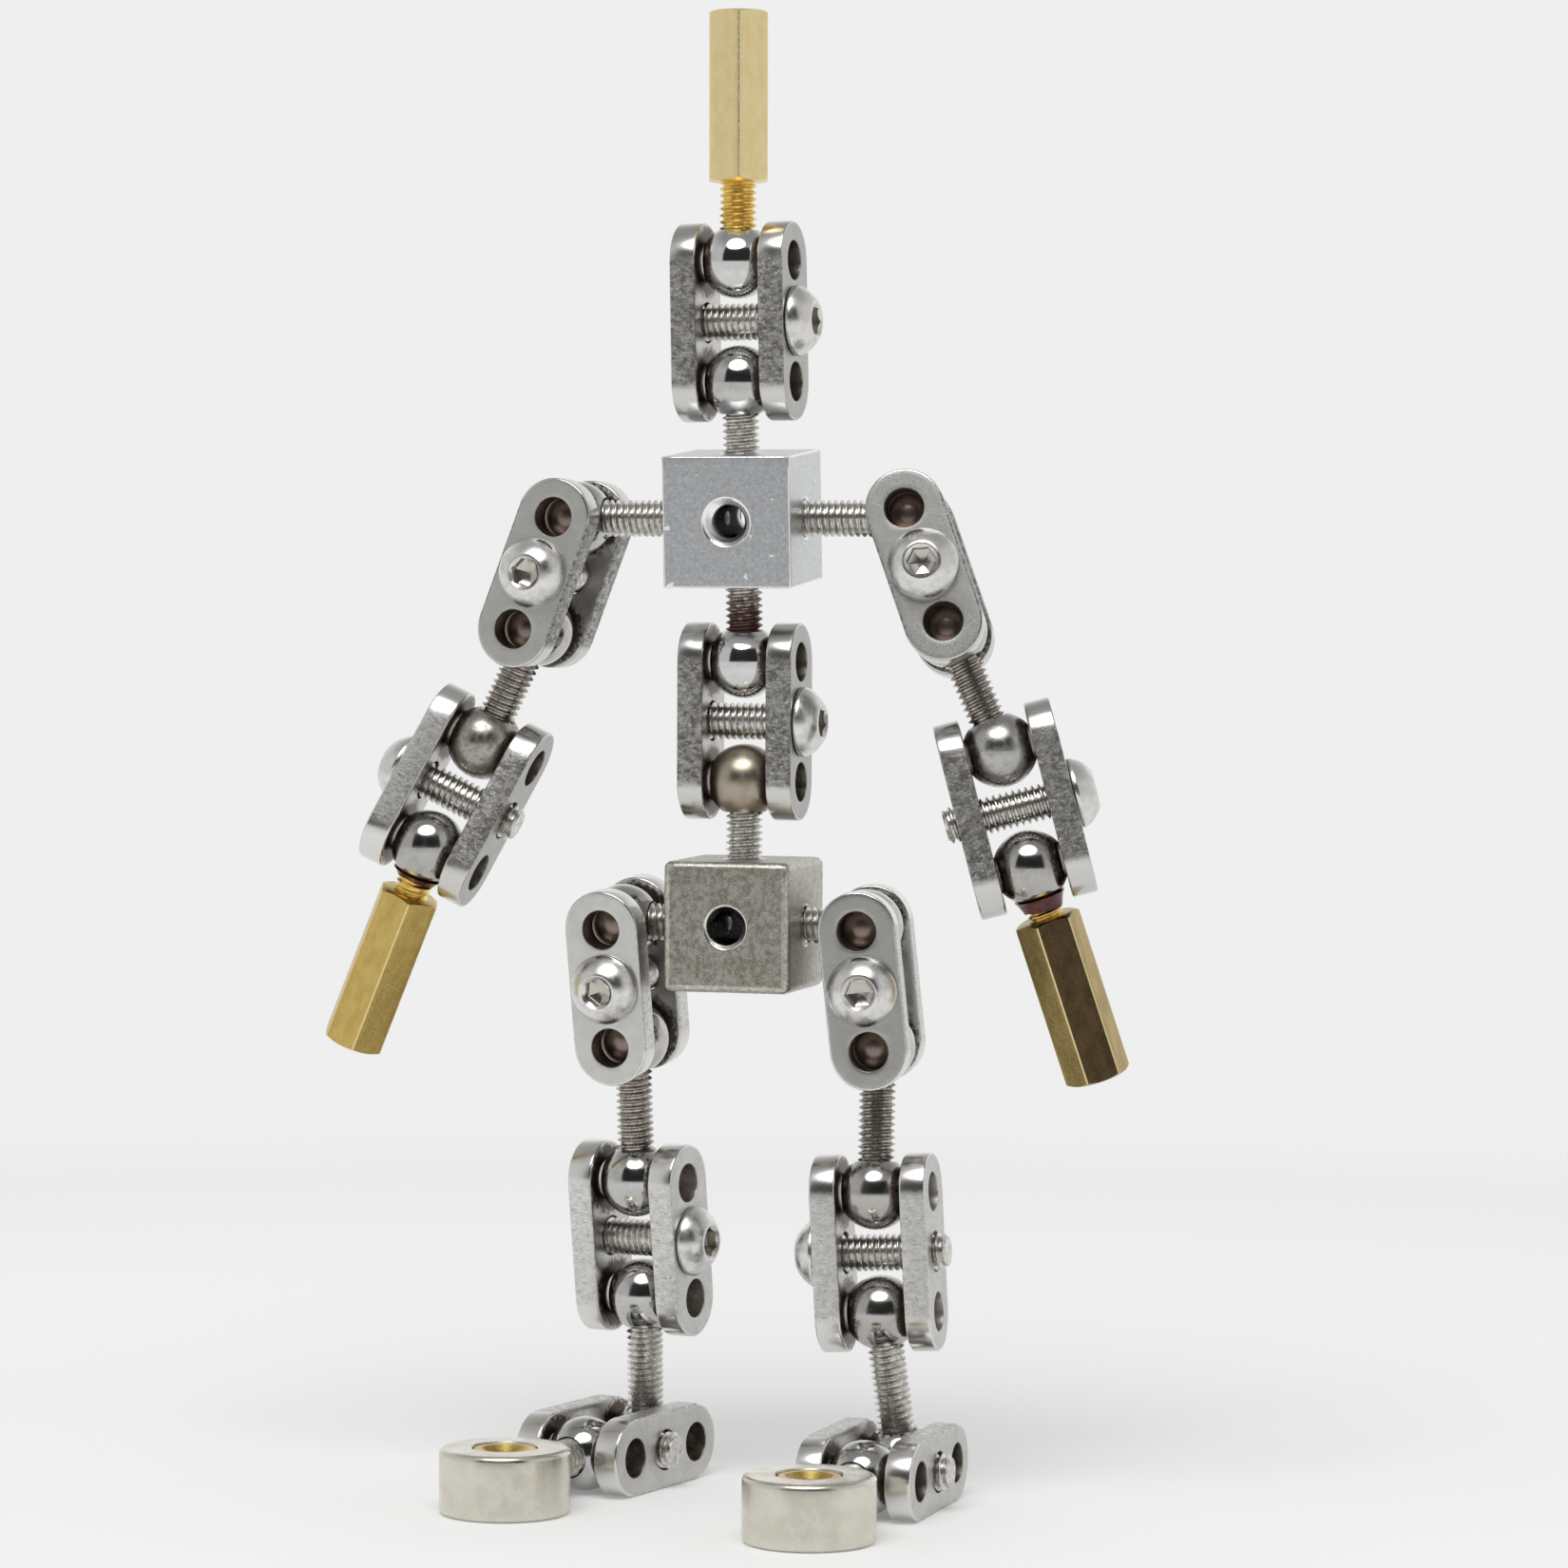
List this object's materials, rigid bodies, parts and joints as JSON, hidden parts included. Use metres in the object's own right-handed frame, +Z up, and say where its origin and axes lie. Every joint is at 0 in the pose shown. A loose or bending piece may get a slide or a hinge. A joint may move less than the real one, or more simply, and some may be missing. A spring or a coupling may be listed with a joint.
{
  "type": "animation puppet",
  "caption": "Standing jointed metal puppet skeleton with ball joints clamped between plates, brass head and hand posts and round magnet feet.",
  "frame": {"origin": "on the floor, under the middle of the standing figure's bounding box", "axes": "+Z up, -Y the way the puppet faces, +X its left side"},
  "size_m": [0.0634, 0.0332, 0.1137],
  "materials": {
    "tumbled_steel": "tumbled satin steel with a fine mottled grain",
    "aluminium": "bead blasted blue-grey aluminium",
    "rod_steel": "bare steel thread with a polished ball",
    "plate_steel": "cut and lightly tumbled stainless steel with grained edges",
    "screw_steel": "bright polished stainless steel",
    "brass": "drawn brass, lightly grained",
    "nickel": "satin nickel plating"
  },
  "bodies": {
    "hips": {"hip_block": "tumbled_steel"},
    "waist_lower_rod": {"waist_lower_rod": "rod_steel"},
    "waist": {"waist_clear_plate": "plate_steel", "waist_tapped_plate": "plate_steel", "waist_screw": "screw_steel"},
    "waist_upper_rod": {"waist_upper_rod": "rod_steel"},
    "chest": {"chest_block": "aluminium"},
    "neck_rod": {"neck_rod": "rod_steel"},
    "neck": {"neck_clear_plate": "plate_steel", "neck_tapped_plate": "plate_steel", "neck_screw": "screw_steel"},
    "head": {"head_post": "brass"},
    "shoulder_rod_right": {"shoulder_rod_right": "rod_steel"},
    "shoulder_right": {"shoulder_right_clear_plate": "plate_steel", "shoulder_right_tapped_plate": "plate_steel", "shoulder_right_screw": "screw_steel"},
    "upper_arm_right": {"upper_arm_rod_right": "rod_steel"},
    "elbow_right": {"elbow_right_clear_plate": "plate_steel", "elbow_right_tapped_plate": "plate_steel", "elbow_right_screw": "screw_steel"},
    "hand_right": {"hand_post_right": "brass"},
    "shoulder_rod_left": {"shoulder_rod_left": "rod_steel"},
    "shoulder_left": {"shoulder_left_clear_plate": "plate_steel", "shoulder_left_tapped_plate": "plate_steel", "shoulder_left_screw": "screw_steel"},
    "upper_arm_left": {"upper_arm_rod_left": "rod_steel"},
    "elbow_left": {"elbow_left_clear_plate": "plate_steel", "elbow_left_tapped_plate": "plate_steel", "elbow_left_screw": "screw_steel"},
    "hand_left": {"hand_post_left": "brass"},
    "hip_rod_right": {"hip_rod_right": "rod_steel"},
    "hip_right": {"hip_right_clear_plate": "plate_steel", "hip_right_tapped_plate": "plate_steel", "hip_right_screw": "screw_steel"},
    "thigh_right": {"thigh_rod_right": "rod_steel"},
    "knee_right": {"knee_right_clear_plate": "plate_steel", "knee_right_tapped_plate": "plate_steel", "knee_right_screw": "screw_steel"},
    "shin_right": {"shin_rod_right": "rod_steel"},
    "ankle_right": {"ankle_right_clear_plate": "plate_steel", "ankle_right_tapped_plate": "plate_steel", "ankle_right_screw": "screw_steel"},
    "toe_right": {"toe_rod_right": "rod_steel"},
    "foot_right": {"foot_magnet_right": "nickel", "foot_bushing_right": "brass"},
    "hip_rod_left": {"hip_rod_left": "rod_steel"},
    "hip_left": {"hip_left_clear_plate": "plate_steel", "hip_left_tapped_plate": "plate_steel", "hip_left_screw": "screw_steel"},
    "thigh_left": {"thigh_rod_left": "rod_steel"},
    "knee_left": {"knee_left_clear_plate": "plate_steel", "knee_left_tapped_plate": "plate_steel", "knee_left_screw": "screw_steel"},
    "shin_left": {"shin_rod_left": "rod_steel"},
    "ankle_left": {"ankle_left_clear_plate": "plate_steel", "ankle_left_tapped_plate": "plate_steel", "ankle_left_screw": "screw_steel"},
    "toe_left": {"toe_rod_left": "rod_steel"},
    "foot_left": {"foot_magnet_left": "nickel", "foot_bushing_left": "brass"}
  },
  "joints": [
    {"name": "waist_turn", "type": "hinge", "parent": "hips", "child": "waist_lower_rod", "pos_m": [0.00186, 0.00821, 0.05491], "axis": [0, 0, 1], "continuous": true},
    {"name": "waist_lower_swing", "type": "hinge", "parent": "waist_lower_rod", "child": "waist", "pos_m": [0.00186, 0.00821, 0.05491], "axis": [1, -0.0087, 0], "range_deg": [-100, 100]},
    {"name": "waist_upper_swing", "type": "hinge", "parent": "waist", "child": "waist_upper_rod", "pos_m": [0.00186, 0.00821, 0.06411], "axis": [-1, 0.0087, 0], "range_deg": [-100, 100]},
    {"name": "chest_turn", "type": "hinge", "parent": "waist_upper_rod", "child": "chest", "pos_m": [0.00186, 0.00821, 0.06411], "axis": [-0.0006, -0.0698, 0.9976], "continuous": true},
    {"name": "neck_turn", "type": "hinge", "parent": "chest", "child": "neck_rod", "pos_m": [0.00185, 0.00672, 0.08546], "axis": [-0.0006, -0.0698, 0.9976], "continuous": true},
    {"name": "neck_swing", "type": "hinge", "parent": "neck_rod", "child": "neck", "pos_m": [0.00185, 0.00672, 0.08546], "axis": [0.9985, -0.0525, 0.0144], "range_deg": [-95, 95]},
    {"name": "head_swing", "type": "hinge", "parent": "neck", "child": "head", "pos_m": [0.0017, 0.00656, 0.09466], "axis": [-0.9985, 0.0525, -0.0144], "range_deg": [-130, 130]},
    {"name": "shoulder_turn_right", "type": "hinge", "parent": "chest", "child": "shoulder_rod_right", "pos_m": [-0.01139, 0.00698, 0.07504], "axis": [0.9994, 0.0348, 0.003], "continuous": true},
    {"name": "shoulder_swing_right", "type": "hinge", "parent": "shoulder_rod_right", "child": "shoulder_right", "pos_m": [-0.01139, 0.00698, 0.07504], "axis": [-0.0873, -0.996, 0.0205], "range_deg": [-150, 12]},
    {"name": "upper_arm_swing_right", "type": "hinge", "parent": "shoulder_right", "child": "upper_arm_right", "pos_m": [-0.01467, 0.00709, 0.06645], "axis": [0.0873, 0.996, -0.0205], "range_deg": [-20, 100]},
    {"name": "elbow_swing_right", "type": "hinge", "parent": "upper_arm_right", "child": "elbow_right", "pos_m": [-0.01888, 0.00702, 0.0576], "axis": [-0.9024, -0.0257, 0.4302], "range_deg": [-140, 95]},
    {"name": "hand_swing_right", "type": "hinge", "parent": "elbow_right", "child": "hand_right", "pos_m": [-0.02265, 0.00466, 0.04955], "axis": [0.9024, 0.0257, -0.4302], "range_deg": [-145, 100]},
    {"name": "shoulder_turn_left", "type": "hinge", "parent": "chest", "child": "shoulder_rod_left", "pos_m": [0.01509, 0.0079, 0.07512], "axis": [0.9994, 0.0348, 0.003], "continuous": true},
    {"name": "shoulder_swing_left", "type": "hinge", "parent": "shoulder_rod_left", "child": "shoulder_left", "pos_m": [0.01509, 0.0079, 0.07512], "axis": [-0.1391, 0.974, -0.1788], "range_deg": [-155, 8]},
    {"name": "upper_arm_swing_left", "type": "hinge", "parent": "shoulder_left", "child": "upper_arm_left", "pos_m": [0.01846, 0.00682, 0.06663], "axis": [0.1391, -0.974, 0.1788], "range_deg": [-12, 100]},
    {"name": "elbow_swing_left", "type": "hinge", "parent": "upper_arm_left", "child": "elbow_left", "pos_m": [0.02228, 0.00747, 0.05763], "axis": [-0.9361, -0.2426, -0.2546], "range_deg": [-125, 110]},
    {"name": "hand_swing_left", "type": "hinge", "parent": "elbow_left", "child": "hand_left", "pos_m": [0.02474, 0.00727, 0.04877], "axis": [0.9361, 0.2426, 0.2546], "range_deg": [-125, 115]},
    {"name": "hip_turn_right", "type": "hinge", "parent": "hips", "child": "hip_rod_right", "pos_m": [-0.00789, 0.00821, 0.04391], "axis": [-1, 0, 0], "range_deg": [-145, 150]},
    {"name": "hip_swing_right", "type": "hinge", "parent": "hip_rod_right", "child": "hip_right", "pos_m": [-0.00789, 0.00821, 0.04391], "axis": [-0.087, -0.9912, -0.1], "range_deg": [-45, 12]},
    {"name": "thigh_swing_right", "type": "hinge", "parent": "hip_right", "child": "thigh_right", "pos_m": [-0.00741, 0.00909, 0.03476], "axis": [-0.087, -0.9912, -0.1], "range_deg": [-65, 15]},
    {"name": "knee_swing_right", "type": "hinge", "parent": "thigh_right", "child": "knee_right", "pos_m": [-0.00725, 0.00981, 0.02359], "axis": [-0.9814, 0.1918, -0.002], "range_deg": [-120, 115]},
    {"name": "shin_swing_right", "type": "hinge", "parent": "knee_right", "child": "shin_right", "pos_m": [-0.00699, 0.01103, 0.01447], "axis": [0.9814, -0.1918, 0.002], "range_deg": [-80, 130]},
    {"name": "ankle_swing_right", "type": "hinge", "parent": "shin_right", "child": "ankle_right", "pos_m": [-0.00736, 0.0127, 0.003], "axis": [-0.9744, 0.225, 0], "range_deg": [-145, 30]},
    {"name": "toe_swing_right", "type": "hinge", "parent": "ankle_right", "child": "toe_right", "pos_m": [-0.00943, 0.00373, 0.003], "axis": [0.9744, -0.225, 0], "range_deg": [-90, 120]},
    {"name": "foot_turn_right", "type": "hinge", "parent": "toe_right", "child": "foot_right", "pos_m": [-0.00943, 0.00373, 0.003], "axis": [0.2672, 0.9636, 0], "continuous": true},
    {"name": "hip_turn_left", "type": "hinge", "parent": "hips", "child": "hip_rod_left", "pos_m": [0.01161, 0.00821, 0.04391], "axis": [-1, 0, 0], "range_deg": [-150, 140]},
    {"name": "hip_swing_left", "type": "hinge", "parent": "hip_rod_left", "child": "hip_left", "pos_m": [0.01161, 0.00821, 0.04391], "axis": [0.104, -0.9945, -0.0154], "range_deg": [-12, 35]},
    {"name": "thigh_swing_left", "type": "hinge", "parent": "hip_left", "child": "thigh_left", "pos_m": [0.01255, 0.00845, 0.03476], "axis": [-0.104, 0.9945, 0.0154], "range_deg": [-55, 15]},
    {"name": "knee_swing_left", "type": "hinge", "parent": "thigh_left", "child": "knee_left", "pos_m": [0.01278, 0.00708, 0.02365], "axis": [0.9984, 0.0174, 0.0541], "range_deg": [-120, 120]},
    {"name": "shin_swing_left", "type": "hinge", "parent": "knee_left", "child": "shin_left", "pos_m": [0.01328, 0.00708, 0.01446], "axis": [-0.9984, -0.0174, -0.0541], "range_deg": [-115, 85]},
    {"name": "ankle_swing_left", "type": "hinge", "parent": "shin_left", "child": "ankle_left", "pos_m": [0.01449, 0.0084, 0.003], "axis": [-0.999, 0.0436, 0], "range_deg": [-145, 30]},
    {"name": "toe_swing_left", "type": "hinge", "parent": "ankle_left", "child": "toe_left", "pos_m": [0.01409, -0.00079, 0.003], "axis": [0.999, -0.0436, 0], "range_deg": [-90, 120]},
    {"name": "foot_turn_left", "type": "hinge", "parent": "toe_left", "child": "foot_left", "pos_m": [0.01409, -0.00079, 0.003], "axis": [-0.1045, -0.9945, 0], "continuous": true}
  ]
}
